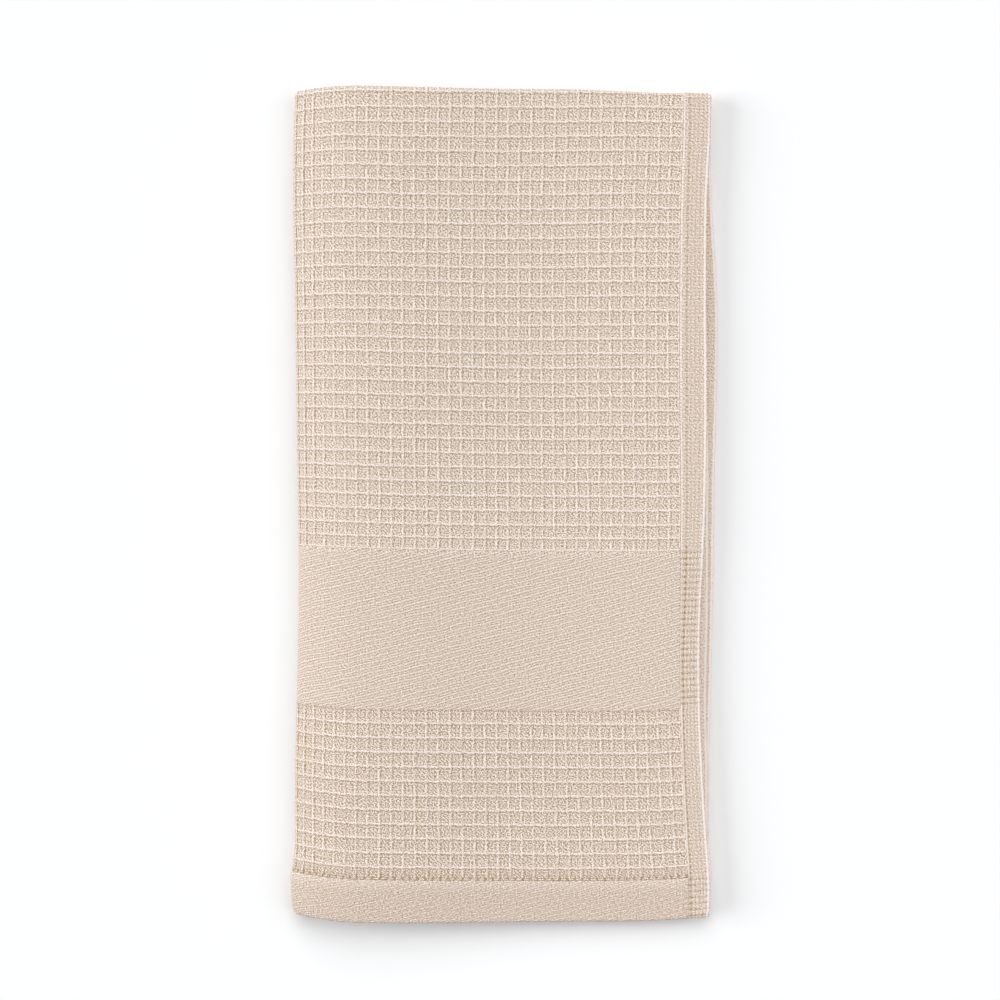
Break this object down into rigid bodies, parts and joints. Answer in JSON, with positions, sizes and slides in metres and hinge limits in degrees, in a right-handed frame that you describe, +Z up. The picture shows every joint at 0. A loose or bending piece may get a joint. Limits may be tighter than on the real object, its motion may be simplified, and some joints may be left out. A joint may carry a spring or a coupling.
{
  "type": "folded hand towel",
  "caption": "Waffle-weave cotton hand towel with a smooth woven band and turned hems, folded in quarters and lying flat.",
  "frame": {"origin": "on the surface that the towel lies on, under the middle of its folded outline", "axes": "+Z up from that surface, +Y along the folded towel towards its folded end, +X across it towards its four free side hems"},
  "size_m": [0.257, 0.5011, 0.0256],
  "materials": {
    "waffle_cotton": "matt warm beige cotton in a waffle weave"
  },
  "bodies": {
    "root": {"towel": "waffle_cotton"}
  },
  "joints": []
}
